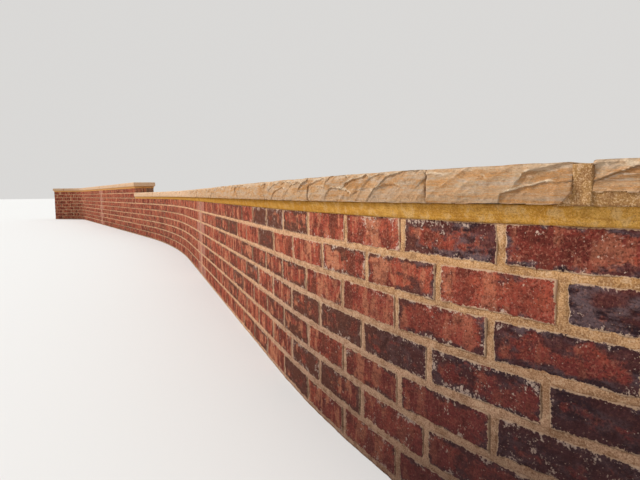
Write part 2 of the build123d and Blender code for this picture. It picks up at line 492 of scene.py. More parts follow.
def bends_at(places, leaf):
    """Signed curvature of a leaf's face at an array of places, positive where it bulges out."""
    bends = np.zeros(len(places))
    for _, start, end, _, _, _, radius, side in PLAN:
        if radius is not None:
            bends[(places >= start) & (places < end)] = -side / radius
    return bends if leaf == 0 else -bends / (1 - THICKNESS * bends)


def laid_joints(start, end, course, leaf):
    """Upright joints of a course between two places, as lengths along a leaf."""
    first, last = np.interp([start, end], *LENGTH_TABLES[leaf])
    return perpends(first, last, course, bond_start(leaf, (start + end) / 2))


def set_marks(draws, course, place):
    """Fits a brick's marks to its place: paler far off and by a joint, deeper near the lawn."""
    draws[FLASH] *= 1 - FLASH_FADE * within((place - CLOSE_END) / FLASH_FADE_LENGTH)
    near_ground = within((DEEP_COURSES - course) / DEEP_FADE) * within(CLOSE_END - place)
    draws[TONE] *= 1 - DEEP_TONE * near_ground
    if min(abs(place - NEAR_STRAIGHT[1]), abs(place - MIDDLE_RAISED[1])) < SMEARED_REACH:
        draws[FLASH] *= SMEARED_FLASH
        draws[BLOOM] = SMEARED_BLOOM + (1 - SMEARED_BLOOM) * draws[BLOOM]


def leaf_bricks(start, end, courses, leaf, free_start, free_end):
    """Every brick of one leaf between two places, without the half bricks at a free end."""
    places, lengths = LENGTH_TABLES[leaf]
    bricks = []
    for course in courses:
        joints = laid_joints(start, end, course, leaf)
        for number, (near, far) in enumerate(zip(joints, joints[1:])):
            at_start, at_end = number == 0, number == len(joints) - 2
            if (free_start and at_start or free_end and at_end) and far - near < HALF_BRICK:
                continue
            draws = brick_numbers(course, round(near / (BRICK_GAUGE / 2)), leaf)
            set_marks(draws, course, (near + far) / 2)
            left = 0.0 if at_start else JOINT / 2
            right = 0.0 if at_end else JOINT / 2
            length = far - near - left - right - LENGTH_LOSS - LENGTH_VARIATION * draws[0]
            place = float(np.interp((near + left + far - right) / 2, lengths, places))
            x, y, along, toward_lawn = directions(place)
            bulge = bends_at(np.array([place]), leaf)[0] * length * length / 12
            outwards = -BRICK_SETBACK + STAND_VARIATION * (draws[1] - 0.5) - bulge
            low = course * COURSE + BED_JOINT
            height = low + BRICK_HEIGHT / 2 + (draws[4] - 0.5) * LIFT_VARIATION
            side = -1 if leaf else 1
            out, right_way = side * toward_lawn, side * along
            middle = np.array([x, y, height]) + out * (leaf * THICKNESS + outwards)
            tilt = (draws[2] - 0.5) * TILT_VARIATION
            roll = (draws[5] - 0.5) * ROLL_VARIATION
            swing = right_way * math.cos(tilt) + out * math.sin(tilt)
            axes = [
                swing * math.cos(roll) + UP * math.sin(roll),
                UP * math.cos(roll) - swing * math.sin(roll),
                out * math.cos(tilt) - right_way * math.sin(tilt),
            ]
            bricks.append(brick(place, course, middle, axes, length, LEAF, draws))
    return bricks


# Bricks across an end, from the lawn face inwards: two ways to turn a half brick, and a closer
TURNED_SPANS = ([(0.0, 0.040), (0.050, 0.244)], [(0.0, 0.194), (0.204, 0.244)])
CLOSER_SPANS = [(0.102, 0.142)]
END_JOINT = 0.008
END_SETBACK = 0.0008
END_VARIATION = 0.001
# End bricks are flashed less than the rest, so that the ends, which get less of the sun, look
# lighter: painted light
END_FLASH_FOR_PAINTED_LIGHT = 0.70
END_NUMBERS = 900
END_REACH = 3.0


def end_bricks(place, facing, courses, leaf_number):
    """The bricks that show on an end. Facing is +1 at the far end and -1 at the near one."""
    x, y, along, toward_lawn = directions(place)
    out = along * facing
    bricks = []
    for course in courses:
        reach = (place, place + END_REACH) if facing < 0 else (place - END_REACH, place)
        joints = perpends(*reach, course)[::-facing]
        end_piece = abs(joints[1] - joints[0])
        spans, depth = CLOSER_SPANS, LEAF
        if end_piece < HALF_BRICK:
            spans, depth = TURNED_SPANS[(course // 2) % 2], end_piece - END_JOINT
        for number, (first, last) in enumerate(spans):
            draws = brick_numbers(course, END_NUMBERS + number, leaf_number)
            # Less flash on the end bricks: painted light
            draws[FLASH] *= END_FLASH_FOR_PAINTED_LIGHT
            setback = END_SETBACK + END_VARIATION * draws[1]
            middle = np.array([x, y, course * COURSE + BED_JOINT + BRICK_HEIGHT / 2])
            middle = middle - toward_lawn * (first + last) / 2 - out * setback
            length = last - first - END_VARIATION * draws[0]
            axes = [np.cross(UP, out), UP, out]
            bricks.append(brick(place, course, middle, axes, length, depth, draws))
    return bricks


# Swept pieces

def swept(name, places, ring, material, marks=None):
    """A closed piece: ring holds, for each place, the profile's points as (outwards, height)."""
    sections, around = ring.shape[:2]
    points = at(np.repeat(places, around), ring[..., 0].ravel(), ring[..., 1].ravel())
    quads = grid_faces(sections, around, closed_columns=True)
    first = np.arange(around)[None, :]
    last = ((sections - 1) * around + np.arange(around))[None, ::-1]
    return make_piece(name, points, [quads[:, ::-1], first, last], material, marks)


def profile_between(corners, spacing):
    """Points along a closed polygon of (outwards, height, share of the spacing) corners."""
    points = []
    for (x0, z0, step), (x1, z1, _) in zip(corners, corners[1:] + corners[:1]):
        count = max(1, round(math.hypot(x1 - x0, z1 - z0) / (step * spacing)))
        for number in range(count):
            share = number / count
            points.append((x0 + (x1 - x0) * share, z0 + (z1 - z0) * share))
    return np.array(points)


def stations(start, end, spacing, fewest=3):
    """Evenly spaced places from a start to an end."""
    return np.linspace(start, end, max(fewest, round((end - start) / spacing)))


def rings_of(profile, places):
    """The profile repeated for every place, and every point's place."""
    ring = np.repeat(profile[None], len(places), axis=0)
    return ring, np.repeat(places[:, None], len(profile), axis=1)


def sides_of(profile):
    """+1 for a profile's points on the lawn side of the wall's centre, -1 for those behind it."""
    return np.where(profile[:, 0] > -THICKNESS / 2, 1.0, -1.0)


def laid_span(place, course):
    """The ends of the bay in which a course runs through a place."""
    if course >= LOW_COURSES and place < MIDDLE_RAISED[1]:
        return MIDDLE_RAISED
    return next(bay[:2] for bay in BAYS if place <= bay[1])


def chords(places, course, leaf):
    """How far straight brick faces stand off the true curve, and the distance inside a brick."""
    joints = np.array(laid_joints(*laid_span(places[len(places) // 2], course), course, leaf))
    lengths = np.interp(places, *LENGTH_TABLES[leaf])
    index = np.clip(np.searchsorted(joints, lengths) - 1, 0, len(joints) - 2)
    length = joints[index + 1] - joints[index] - JOINT
    x = lengths - (joints[index] + joints[index + 1]) / 2
    return bends_at(places, leaf) * (x * x / 2 - length * length / 12), length / 2 - np.abs(x)


# The mortar is a little deeper in the upright joints, and drops this far behind the bricks
UPRIGHT_RECESS, UPRIGHT_FADE = 0.0005, 0.010
HIDDEN_DROP, HIDDEN_FROM, HIDDEN_FADE = 0.005, 0.0035, 0.004


def mortar_depths(places, heights, leaf, courses):
    """Depth of the mortar behind the true curve, deeper behind the bricks, as places by heights."""
    depths = np.zeros((len(places), len(heights)))
    laid = {course: chords(places, course, leaf) for course in courses}
    for number, height in enumerate(heights):
        course = min(int(height / COURSE + 1e-6), courses[-1])
        above = height - course * COURSE
        here = laid[course]
        upright = 0.0
        if above < BED_JOINT:
            below = laid[max(course - 1, courses[0])]
            share = above / BED_JOINT
            stand = below[0] * (1 - share) + here[0] * share
            inside = np.full(len(places), -1.0)
        else:
            stand = here[0]
            from_beds = min(above - BED_JOINT, COURSE - above)
            inside = np.minimum(here[1], from_beds)
            upright = UPRIGHT_RECESS * within(from_beds / UPRIGHT_FADE)
        hidden = HIDDEN_DROP * within((inside - HIDDEN_FROM) / HIDDEN_FADE)
        depths[:, number] = stand - BRICK_SETBACK - JOINT_RECESS - upright - hidden
    return depths


def make_mortar(name, start, end, low, high, spacing):
    """The mortar of a stretch of brickwork, a little behind the brick faces, as one rough block."""
    open_start = start == 0.0 or (start == STEP_PLACE and low > 0)
    open_end = end == WALL_LENGTH
    count = len(stations(start, end, spacing))
    places = np.linspace(start + open_start * END_RECESS, end - open_end * END_RECESS, count)
    back = -THICKNESS
    corners = [(0.0, low, 1), (0.0, high, 12), (back, high, 3), (back, low, 12)]
    profile = profile_between(corners, spacing)
    ring, place_grid = rings_of(profile, places)
    sample = np.stack([place_grid, ring[..., 1], ring[..., 0] * 9], axis=-1)
    lift = 0.0006 * rough(sample, 0.022, 41, 3)
    courses = range(round(low / COURSE), round(high / COURSE))
    for leaf, side in ((0, 1.0), (1, -1.0)):
        face = np.abs(profile[:, 0] + leaf * THICKNESS) < 1e-6
        depths = mortar_depths(places, profile[face, 1], leaf, courses)
        ring[:, face, 0] += side * (depths + lift[:, face])
    return swept(name, places, ring, "mortar")


BED_INSET = 0.0006
BED_LAP = 0.0005
BED_SPACING = 0.004


def make_bed(name, start, end, brick_top, spacing):
    """The tooled mortar bed under the coping, flared out upwards to the stones."""
    places = stations(start, end, spacing)
    foot, head = brick_top - BED_LAP, brick_top + COPING_BED
    corners = [
        (-BED_INSET, foot, 1),
        (BED_FLARE - BED_INSET, head, 6),
        (-THICKNESS - BED_FLARE + BED_INSET, head, 1),
        (-THICKNESS + BED_INSET, foot, 6),
    ]
    profile = profile_between(corners, min(spacing, BED_SPACING))
    ring, place_grid = rings_of(profile, places)
    side = sides_of(profile)
    from_centre = np.abs(profile[:, 0] + THICKNESS / 2)
    on_face = from_centre > THICKNESS / 2 - BED_INSET - 1e-6
    sample = np.stack([place_grid, ring[..., 1], 0 * place_grid + 3 * side], axis=-1)
    drawn = sample * np.array([0.16, 1.0, 1.0])
    lift = 0.0007 * rough(drawn, 0.010, 51, 3) + 0.0005 * noise(sample, 0.018, 53)
    ring[..., 0] += np.where(on_face, side * np.minimum(lift, BED_INSET), 0.0)
    return swept(name, places, ring, "bed")


# Coping

# Two layers of scoops on a stone's face: widest, deepest, middle and spread of their upper edge as
# shares of the face, share of gaps, weight of their tint, and strength of the painted highlight
# on their upper edge
SCOOP_LAYERS = (
    (0.110, 0.0060, 0.83, 0.045, 0.20, 0.9, 1.6),
    (0.120, 0.0045, 0.40, 0.15, 0.70, 0.7, 0.8),
)
# A calm face has longer scoops, nearly upright edges and shallower facets
CALM_SHARE = 0.50
CALM_STRETCH = 1.4
CALM_LEAN = 0.4
FACET_DEPTH, CALM_FACET_DEPTH = 0.0026, 0.0021
LIP_WIDTH = 0.0065

# The mortar patch at the wide joint, and the corner chipped off the stone after it
PATCH_LENGTH = 0.150
PATCH_HEIGHT = 0.0155
CHIP = 0.015
DEEPEST_CARVE = 0.0130
END_WEAR = 0.0035

# Spacing of a stone's mesh between two places, the finest first, and elsewhere
STONE_SPACINGS = ((2.9, 3.9, 0.0016), (2.6, 4.6, 0.0030), (2.3, 6.2, 0.006))
COARSE_STONE_SPACING = 0.016
FINEST_FACE_SPACING = 0.0014
MOST_BACK_LINES = 14


def stone_spans(start, end):
    """Start and end of each stone of a run, joint widths taken off, fitted to fill the run."""
    room = end - start
    lengths, joints = [], []
    while sum(lengths) + sum(joints) < room:
        lengths.append(STONE_LENGTHS[len(lengths) % len(STONE_LENGTHS)] * MILLIMETRE)
        joints.append(WIDE_JOINT if len(lengths) == WIDE_JOINT_AFTER else STONE_JOINT)
    if sum(lengths) + sum(joints) - room > lengths[-1] / 2 and len(lengths) > 1:
        lengths.pop()
        joints.pop()
    fit = (room - sum(joints[:-1])) / sum(lengths)
    spans = []
    place = start
    for length, joint in zip(lengths, joints):
        spans.append((place, place + length * fit))
        place += length * fit + joint
    return spans


def struck_face(along, up, length, rise, seed, sample):
    """The scars of a pitching tool: depths, a tint, and painted light and shade, from painted
    highlights on crests (near 1) to painted shade in hollows (near 0).
    """
    draw = random.Random(f"face {seed}")
    calm = random.Random(f"long scoop {seed}").random() < CALM_SHARE
    waver = rough(sample, 0.026, seed + 1, 4)
    fine = rough(sample, 0.009, seed + 2, 2)
    slow = noise(sample, 0.085, seed + 3)
    patchy = np.clip(0.55 + 0.9 * noise(sample, 0.018, seed + 4), 0.1, 1)
    slope = math.radians(25 + 12 * draw.random())
    turned = sample @ np.array(
        [[-math.cos(slope), 0, math.sin(slope)], [0, 1, 0], [math.sin(slope), 0, math.cos(slope)]]
    )
    long_ridge = noise(turned * np.array([0.32, 1, 1.0]), 0.018, seed + 5)
    short_ridge = noise(turned * np.array([0.5, 1, 1.2]), 0.009, seed + 6)
    facets = np.abs(long_ridge) + 0.5 * np.abs(short_ridge)
    depth = 0.0010 * (1 + slow) + (CALM_FACET_DEPTH if calm else FACET_DEPTH) * facets
    tint = 0.5 + 0.25 * slow + 0.08 * waver
    # Painted highlights along the ridges between facets
    edge = 0.55 * np.exp(-((long_ridge / 0.05) ** 2)) * patchy * (slow > -0.3)
    for widest, deepest, middle, spread, gaps, tint_weight, highlight_strength in SCOOP_LAYERS:
        lean = draw.choice((-1, 1, 1, 1)) * draw.uniform(0.9, 2.8) * (CALM_LEAN if calm else 1.0)
        widest *= CALM_STRETCH if calm else 1.0
        slanted = along - lean * (rise * middle - up) + 0.0050 * waver + 0.0012 * fine
        overrun = abs(lean) * rise
        cusp = -overrun - draw.random() * widest
        while cusp < length + overrun:
            width = widest * draw.uniform(0.32, 1.0)
            level = rise * (middle + draw.uniform(-spread, spread))
            arch = width * draw.uniform(0.03, 0.10)
            share = (slanted - cusp) / width
            skip = draw.random() < gaps
            deep = deepest * draw.uniform(0.30, 1.0)
            chip_tint = draw.random()
            reach_down = rise * draw.uniform(0.28, 0.85)
            tilt = draw.uniform(-0.10, 0.10) * width
            cusp += width
            if skip:
                continue
            from_cusp = np.minimum(share, 1 - share) * width
            inside = within(from_cusp / LIP_WIDTH)
            crown = level + tilt * share + arch * (1 - (2 * share - 1) ** 2)
            below = crown + 0.0034 * waver + 0.0010 * fine - up
            reach = within(below / 0.0024)
            fall = np.clip(1 - 0.9 * below / reach_down, 0.05, 1)
            slope = 0.5 + 0.5 * (share if lean > 0 else 1 - share)
            scoop = deep * reach * fall * within(slope) * inside
            weight = within(scoop / 0.0018) * tint_weight
            tint = tint * (1 - weight) + (chip_tint + 0.15 * waver) * weight
            strength = min(1.0, deep / 0.0040) * inside * patchy
            # Painted highlight along each scoop's upper edge and side ridges, painted shade in the
            # hollow just under the edge
            crest_highlight = np.exp(-(((below + 0.0008) / 0.0017) ** 2)) * strength
            ridge_highlight = np.exp(-((from_cusp / 0.0012) ** 2)) * reach * fall * patchy * (deep > 0.0028)
            ridge_highlight *= (share > -0.02) & (share < 1.02)
            dark = np.exp(-(((below - 0.0032) / 0.0026) ** 2)) * strength * (below > 0)
            edge = edge * (1 - 0.7 * weight) + highlight_strength * crest_highlight + 0.8 * ridge_highlight - 0.28 * dark
            depth = depth + scoop
    return depth, within(tint), within(0.5 + 0.5 * edge)


def stone_profile(low, high, belly, spacing):
    """A stone's section as (outwards, height) points, and each one's side: 0 front to 3 foot."""
    rise = high - low
    face_count = max(8, round(rise / max(spacing, FINEST_FACE_SPACING)))
    top_count = max(6, round(THICKNESS / max(0.010, spacing * 2)))
    heights = np.linspace(0.0, 1.0, face_count + 1)
    back_heights = np.linspace(1.0, 0.0, min(face_count, MOST_BACK_LINES) + 1)
    worn_shape = ([0, 0.06, 0.25, 0.70, 0.93, 1], [-0.0050, -0.0020, 0, 0, -0.0015, -0.0050])
    shape, back_shape = np.interp(heights, *worn_shape), np.interp(back_heights, *worn_shape)
    across = np.linspace(0.0, 1.0, top_count + 1)[1:-1]
    across = 0.5 - 0.5 * np.cos(across * math.pi)
    under = np.linspace(0.0, 1.0, 5)[1:-1]
    front, back = belly + shape, -THICKNESS - belly - back_shape
    top = front[-1] + (back[0] - front[-1]) * across
    foot = back[-1] + (front[0] - back[-1]) * under
    lines, back_lines = low + rise * heights, low + rise * back_heights
    rows = ((front, lines), (top, high), (back, back_lines), (foot, low))
    sides = [np.stack(np.broadcast_arrays(*row), axis=1) for row in rows]
    return np.concatenate(sides), np.repeat(np.arange(4), [len(side) for side in sides])


def make_stone(name, start, end, low, high, belly, number, free_end, undercut, chipped_start):
    """A rock-faced coping stone: pitched faces on both long sides and a split top.

    A free end (-1 near, 1 far) is worn round. An undercut stone has its foot cut back for the
    mortar patch, and a chipped one has lost the corner beside the wide joint.
    """
    spacing = stone_spacing(start, end)
    seed = 100 + number
    rise = high - low
    rim = np.array([0.0, 0.0012, END_WEAR])
    places = stations(start, end, spacing, 6)
    places = np.unique(np.concatenate([places, start + rim, end - rim]))
    profile, part = stone_profile(low, high, belly, spacing)
    ring, place_grid = rings_of(profile, places)
    sample = np.stack([place_grid, ring[..., 0], ring[..., 1]], axis=-1)
    on_front, on_back = part == 0, part == 2
    along, up = place_grid - start, ring[..., 1] - low
    height_share = up / rise
    on_top = (part == 1) | (height_share > 0.999)

    def move_faces(distance):
        """Moves the front and the back outwards."""
        ring[..., 0] += np.where(on_front, distance, 0.0) - np.where(on_back, distance, 0.0)

    carve = np.zeros(ring.shape[:2])
    marks = np.full(ring.shape[:2] + (4,), 0.5)
    marks[..., 0] = random.Random(f"stone {number}").random()
    marks[..., 2] = within(height_share)
    # The fourth mark is painted light and shade from struck_face: highlights on crests, shade in
    # hollows
    for side, chosen in ((0, on_front), (1, on_back)):
        depth, scar, light_and_shade = struck_face(
            along[:, chosen], up[:, chosen], end - start, rise, seed + 40 * side, sample[:, chosen]
        )
        carve[:, chosen], marks[:, chosen, 1], marks[:, chosen, 3] = -depth, scar, light_and_shade
    ragged = 0.003 * noise(sample, 0.012, seed + 23)
    if undercut:
        hollow = (up < PATCH_HEIGHT + ragged) & (end - place_grid < PATCH_LENGTH + ragged)
        carve = np.where(hollow & on_front, -DEEPEST_CARVE, carve)
    if chipped_start:
        off_corner = within((np.maximum(along, up) - 0.020) / 0.012)
        carve = np.where(on_front, carve * off_corner, carve)
        chipped = np.maximum(CHIP - along, 0) + np.maximum(CHIP - up, 0) > CHIP + 0.2 * ragged
        carve = np.where(chipped & on_front, -DEEPEST_CARVE, carve)
    carve = np.clip(carve, -DEEPEST_CARVE, 0.0)
    fade = within(height_share / 0.06) * within((1 - height_share) / 0.05)
    fade = np.where(carve < -DEEPEST_CARVE + 0.0001, 1.0, fade)
    strata = 0.0005 * noise(sample * np.array([0.2, 1.0, 1.0]), 0.0045, seed + 13)
    fine_rough = 0.0006 * rough(sample, 0.008, seed + 3, 3) + strata
    move_faces(np.minimum(carve * (0.30 + 0.70 * fade) + fine_rough, 0.0))
    worn = 0.0016 * within(1 - np.minimum(along, end - place_grid) / END_WEAR) ** 2
    move_faces(-worn)
    top_relief = np.minimum(0.0009 * rough(sample, 0.05, seed + 9, 4) - 0.0004, 0.0)
    ring[..., 1] += np.where(on_top, top_relief - worn, 0.0)
    foot_relief = within(0.0009 * noise(sample, 0.03, seed + 11) + 0.0006)
    ring[..., 1] += np.where(height_share < 0.001, foot_relief, 0.0)
    if free_end:
        near_end = within(1 - (end - place_grid if free_end > 0 else along) / 0.010)
        cut_back = 0.005 * near_end * (0.6 + 0.8 * noise(sample, 0.03, seed + 21))
        move_faces(-cut_back)
        ring[..., 1] -= np.where(on_top, 0.4 * cut_back, 0.0)
    piece = swept(name, places, ring, "stone", marks)
    piece.data.shade_flat()
    return piece


def stone_spacing(first, last):
    """The spacing of the mesh of a stone between two places, finest beside the camera."""
    for start, end, spacing in STONE_SPACINGS:
        if start < last and first < end:
            return spacing
    return COARSE_STONE_SPACING


# Materials

def rgba(colour):
    """A colour for a shader's socket. A link stays as it is."""
    return colour if isinstance(colour, bpy.types.NodeSocket) else (*colour, 1)


class Nodes:
    """Shorthand for building one material's node tree."""

    def __init__(self, name):
        self.material = bpy.data.materials.new(name)
        self.material.use_nodes = True
        self.tree = self.material.node_tree
        self.shader = self.tree.nodes["Principled BSDF"]
        self.place = self.add("TexCoord").outputs["Object"]
        self.axes = self.add("SeparateXYZ", None, Vector=self.place).outputs

    def add(self, kind, settings=None, **inputs):
        """A node of that kind, with settings as attributes and inputs by socket name or link."""
        node = self.tree.nodes.new("ShaderNode" + kind)
        for key, value in (settings or {}).items():
            setattr(node, key, value)
        for key, value in inputs.items():
            self.set(node.inputs[int(key[1:]) if key[1:].isdigit() else key], value)
        return node

    def set(self, socket, value):
        """A constant or a link into a socket."""
        if isinstance(value, bpy.types.NodeSocket):
            self.tree.links.new(value, socket)
        else:
            socket.default_value = value

    def math(self, operation, first, second):
        """The result of one arithmetic step."""
        return self.add("Math", {"operation": operation}, i0=first, i1=second).outputs[0]

    def times(self, first, second):
        """A product."""
        return self.math("MULTIPLY", first, second)

    def plus(self, first, second):
        """A sum."""
        return self.math("ADD", first, second)

    def swing(self, value, weight, middle=0.5):
        """A value's distance from its middle, times a weight."""
        return self.times(self.math("SUBTRACT", value, middle), weight)

    def vector(self, operation, first, second):
        """The result of one step of vector arithmetic."""
        return self.add("VectorMath", {"operation": operation}, i0=first, i1=second).outputs[0]

    def noise(self, vector, scale, detail=3.0, roughness=0.55, stretch=None):
        """A noise texture's value. Its place may be scaled by constant factors first."""
        if stretch:
            vector = self.vector("MULTIPLY", vector, stretch)
        sockets = {"Vector": vector, "Scale": scale, "Detail": detail, "Roughness": roughness}
        return self.add("TexNoise", None, **sockets).outputs["Fac"]

    def ramp(self, value, low, high, low_to=0.0, high_to=1.0):
        """A value mapped smoothly between two bounds."""
        settings = {"interpolation_type": "SMOOTHSTEP"}
        node = self.add("MapRange", settings, Value=value, i1=low, i2=high, i3=low_to, i4=high_to)
        return node.outputs[0]

    def mix(self, share, first, second):
        """One colour laid over another by a share."""
        node = self.add("Mix", {"data_type": "RGBA"}, i0=share, i6=rgba(first), i7=rgba(second))
        return node.outputs[2]

    def layers(self, colour, *rows):
        """A colour with others over it. A row is value, low, high, most share and colour."""
        for value, low, high, most, over in rows:
            colour = self.mix(self.ramp(value, low, high, 0.0, most), colour, over)
        return colour

    def marks(self, spread):
        """The mesh's four marks, and the place moved by three of them, so that units differ."""
        marks = self.add("Attribute", {"attribute_name": "marks"})
        three = marks.outputs["Color"]
        parts = self.add("SeparateColor", None, Color=three)
        own = self.add("VectorMath", {"operation": "SCALE"}, i0=three, Scale=spread)
        spot = self.vector("ADD", self.place, own.outputs[0])
        return parts.outputs[0], parts.outputs[1], parts.outputs[2], marks.outputs["Alpha"], spot

    def painted_foot_shade(self, colour):
        """The colour with painted shade towards the ground, strongest at the near bend."""
        wander = self.times(self.noise(self.place, 3.0, 2.0), 0.16)
        foot_shade = self.ramp(self.math("SUBTRACT", self.axes[2], wander), -0.10, 0.45, 0.58, 0.0)
        foot_shade = self.times(foot_shade, self.ramp(self.axes[0], 0.4, 2.2, 0.30, 1.75))
        return self.mix(foot_shade, colour, (0.030, 0.014, 0.014))

    def finish(self, colour, roughness, height, strength, distance):
        """Colour, roughness and bump into the shader."""
        self.set(self.shader.inputs["Base Color"], colour)
        self.set(self.shader.inputs["Roughness"], roughness)
        self.shader.inputs["Specular IOR Level"].default_value = 0.0
        bump = self.add("Bump", None, Height=height)
        bump.inputs["Strength"].default_value = strength
        bump.inputs["Distance"].default_value = distance
        self.set(self.shader.inputs["Normal"], bump.outputs["Normal"])
        return self.material


def brick_material():
    """Fired clay, red to dark flashed, with sand specks, lime bloom and mortar smears."""
    nodes = Nodes("brick")
    flash, tone, other, rim, spot = nodes.marks(3.0)
    x, height = nodes.axes[0], nodes.axes[2]
    broad = nodes.noise(spot, 13.0, 2.0, stretch=(1.0, 1.0, 2.2))
    patch = nodes.noise(spot, 45.0, 4.0, 0.62, stretch=(1.0, 1.0, 2.2))
    other_patch = nodes.noise(spot, 75.0, 4.0, 0.65)
    grain = nodes.noise(spot, 330.0, 4.0, 0.75)
    light_grain = nodes.noise(spot, 260.0, 3.0, 0.7)
    upright = nodes.noise(spot, 34.0, 3.0, 0.6, stretch=(1.0, 1.0, 0.30))
    licks = nodes.noise(spot, 28.0, 3.0, 0.6, stretch=(1.0, 1.0, 1.6))

    # Fired red: from deep to orange by tone, and dragged upright where the wall is farther off
    orange = (0.44, 0.100, 0.054)
    red = nodes.mix(nodes.ramp(tone, 0.0, 0.50), (0.205, 0.040, 0.030), (0.37, 0.074, 0.046))
    red = nodes.layers(
        red,
        (tone, 0.75, 1.0, 0.7, orange),
        (broad, 0.52, 0.60, 0.65, orange),
        (broad, 0.47, 0.38, 0.75, (0.12, 0.028, 0.022)),
    )
    away = nodes.ramp(x, 2.0, 1.35, 0.35, 1.0)
    banded = nodes.times(nodes.ramp(upright, 0.53, 0.60, 0.0, 0.80), away)
    red = nodes.mix(banded, red, (0.150, 0.046, 0.028))
    scraped = nodes.times(nodes.ramp(upright, 0.50, 0.40, 0.0, 0.85), away)
    red = nodes.mix(scraped, red, (0.60, 0.235, 0.125))
    # Painted shade: the red darker low down close to the camera
    low_corner_shade = nodes.times(nodes.ramp(height, 0.42, 0.22, 0.0, 0.72), nodes.ramp(x, 1.25, 1.95))
    red = nodes.mix(low_corner_shade, red, (0.165, 0.030, 0.030))
    red = nodes.layers(red, (patch, 0.48, 0.62, 0.52, (0.120, 0.026, 0.020)))

    # Flashed dark at the rims and in licks, more of it on the bricks that were fired dark
    dark = nodes.mix(nodes.ramp(patch, 0.40, 0.60), (0.030, 0.018, 0.022), (0.150, 0.098, 0.102))
    dark = nodes.layers(
        dark,
        (broad, 0.50, 0.62, 0.8, (0.120, 0.034, 0.029)),
        (away, 0.4, 1.0, 0.80, (0.140, 0.054, 0.033)),
    )
    # The same painted shade on the flashed colour, low down close to the camera
    dark = nodes.mix(nodes.times(low_corner_shade, 0.9), dark, (0.024, 0.015, 0.020))
    burnt = nodes.plus(nodes.swing(flash, 2.4, 0.60), nodes.swing(broad, 3.2))
    burnt = nodes.plus(burnt, nodes.ramp(rim, 0.0, 0.70, 0.62, -0.30))
    for value, weight in ((licks, 2.6), (other_patch, 1.4), (grain, 0.4)):
        burnt = nodes.plus(burnt, nodes.swing(value, weight))
    burnt_share = nodes.ramp(burnt, -0.25, 0.45)
    colour = nodes.mix(burnt_share, red, dark)

    # Grains of sand
    colour = nodes.layers(colour, (grain, 0.51, 0.60, 0.62, (0.028, 0.011, 0.009)))
    unburnt = nodes.ramp(burnt_share, 0.2, 1.0, 1.0, 0.35)
    light_share = nodes.times(nodes.ramp(light_grain, 0.52, 0.63, 0.0, 0.45), unburnt)
    # Fewer pale grains where that painted shade lies
    light_share = nodes.times(light_share, nodes.ramp(low_corner_shade, 0.0, 0.72, 1.0, 0.55))
    colour = nodes.mix(light_share, colour, (0.50, 0.205, 0.135))

    # Lime bloom in clusters near the rims, a veil of it on a few bricks, and loose specks
    crumbs = nodes.plus(other_patch, nodes.swing(light_grain, 0.9))
    reach = nodes.ramp(rim, 0.05, 0.60, 0.095, -0.06)
    reach = nodes.plus(reach, nodes.ramp(other, 0.2, 0.85, -0.05, 0.035))
    reach = nodes.plus(reach, nodes.ramp(nodes.noise(spot, 24.0, 2.0), 0.45, 0.60, -0.10, 0.035))
    close = nodes.ramp(x, 0.0, 1.2, 0.25, 1.0)
    bloom_share = nodes.times(nodes.ramp(nodes.plus(crumbs, reach), 0.60, 0.72, 0.0, 0.75), close)
    colour = nodes.mix(bloom_share, colour, (0.65, 0.48, 0.38))
    colour = nodes.layers(colour, (other, 0.91, 0.95, 0.28, (0.62, 0.36, 0.28)))
    specks = nodes.add("TexVoronoi", None, Vector=spot, Scale=300.0)
    speck_kind = nodes.add("SeparateColor", None, Color=specks.outputs["Color"]).outputs[0]
    in_speck = nodes.math("LESS_THAN", specks.outputs["Distance"], 0.26)
    speck_share = nodes.times(in_speck, nodes.math("GREATER_THAN", speck_kind, 0.95))
    colour = nodes.mix(nodes.times(speck_share, 0.5), colour, (0.60, 0.44, 0.35))

    # Mortar smeared over the rims
    smear = nodes.plus(nodes.ramp(rim, 0.0, 0.24, 0.34, -0.24), crumbs)
    smear_share = nodes.times(nodes.ramp(smear, 0.60, 0.74, 0.0, 0.8), close)
    colour = nodes.mix(smear_share, colour, (0.62, 0.41, 0.26))
    bumps = nodes.plus(nodes.times(grain, -0.9), nodes.times(patch, 1.2))
    roughness = nodes.ramp(grain, 0.3, 0.7, 0.78, 0.93)
    # Painted shade towards the ground, strongest close to the camera
    return nodes.finish(nodes.painted_foot_shade(colour), roughness, bumps, 0.9, 0.0022)


def mortar_material(name, low_tan, high_tan):
    """Sandy tan jointing mortar between two shades, paler far off as painted light, and ashy near
    the ground.
    """
    nodes = Nodes(name)
    x, height = nodes.axes[0], nodes.axes[2]
    broad = nodes.noise(nodes.place, 7.0, 3.0)
    patch = nodes.noise(nodes.place, 60.0, 4.0, 0.6)
    grain = nodes.noise(nodes.place, 480.0, 4.0, 0.8)
    tan = nodes.mix(nodes.ramp(broad, 0.35, 0.65), low_tan, high_tan)
    # Paler far off, where the wall is lit brighter: painted light
    colour = nodes.layers(tan, (x, 2.0, 0.9, 0.85, (0.67, 0.370, 0.225)))
    ashy = nodes.times(nodes.ramp(height, 0.42, 0.18, 0.0, 0.40), nodes.ramp(x, 0.6, 1.3))
    colour = nodes.layers(
        nodes.mix(ashy, colour, (0.64, 0.43, 0.36)),
        (patch, 0.48, 0.62, 0.60, (0.30, 0.145, 0.065)),
        (patch, 0.46, 0.36, 0.50, (0.72, 0.470, 0.290)),
        (grain, 0.51, 0.61, 0.68, (0.19, 0.095, 0.042)),
        (grain, 0.48, 0.38, 0.62, (0.84, 0.60, 0.38)),
    )
    bumps = nodes.plus(nodes.times(grain, -1.0), nodes.times(patch, 0.8))
    # Painted shade towards the ground, strongest close to the camera
    return nodes.finish(nodes.painted_foot_shade(colour), 0.92, bumps, 0.9, 0.0018)


